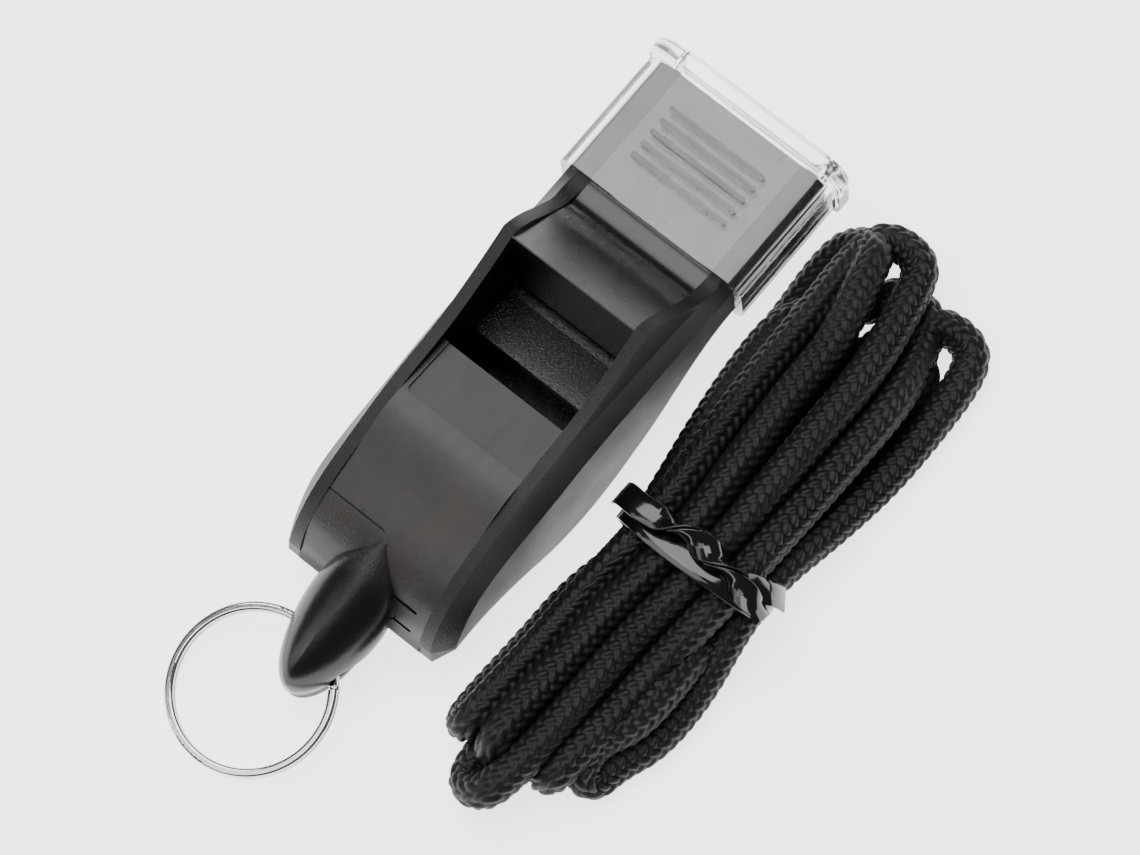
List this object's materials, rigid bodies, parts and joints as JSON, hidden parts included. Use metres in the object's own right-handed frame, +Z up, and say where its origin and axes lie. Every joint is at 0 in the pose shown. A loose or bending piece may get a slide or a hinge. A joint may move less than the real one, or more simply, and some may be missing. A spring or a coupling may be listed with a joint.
{
  "type": "training whistle",
  "caption": "Pealess training whistle with a flattened teardrop body, clear sleeve on the mouthpiece, split ring on its lug, and a black braided lanyard tied in a hank beside it.",
  "frame": {"origin": "bottom centre of the box around the whistle with its split ring and mouth grip, without the lanyard", "axes": "+X from the split ring to the mouthpiece, +Y to the whistle's left, +Z up, table at Z = 0"},
  "size_m": [0.083, 0.0451, 0.0229],
  "materials": {
    "body_plastic": "satin, glossy on the lug and the neck",
    "cover_plastic": "satin with stippled rims",
    "clear_plastic": "clear, slightly milky soft plastic",
    "ring_steel": "bright nickel plated spring steel",
    "cord_fabric": "braided polyester cord",
    "string_fabric": "twisted thin string",
    "ferrule_metal": "black crimp",
    "tie_plastic": "glossy black plastic film",
    "tie_wire_steel": "soft annealed wire"
  },
  "bodies": {
    "whistle": {"whistle_body": "body_plastic", "left_side_cover": "cover_plastic", "right_side_cover": "cover_plastic", "lanyard_hank": "cord_fabric", "lanyard_string": "string_fabric", "lanyard_ferrule": "ferrule_metal", "twist_tie": "tie_plastic", "twist_tie_wire": "tie_wire_steel"},
    "grip": {"mouth_grip": "clear_plastic"},
    "ring": {"split_ring": "ring_steel"}
  },
  "joints": [
    {"name": "grip_slide", "type": "slide", "parent": "whistle", "child": "grip", "axis": [1, 0, 0], "range_m": [0, 0.018]},
    {"name": "ring_swing", "type": "hinge", "parent": "whistle", "child": "ring", "pos_m": [-0.02468, 0.0005, 0.0038], "axis": [0.3322, 0.9432, 0], "range_deg": [-75, 85]}
  ]
}
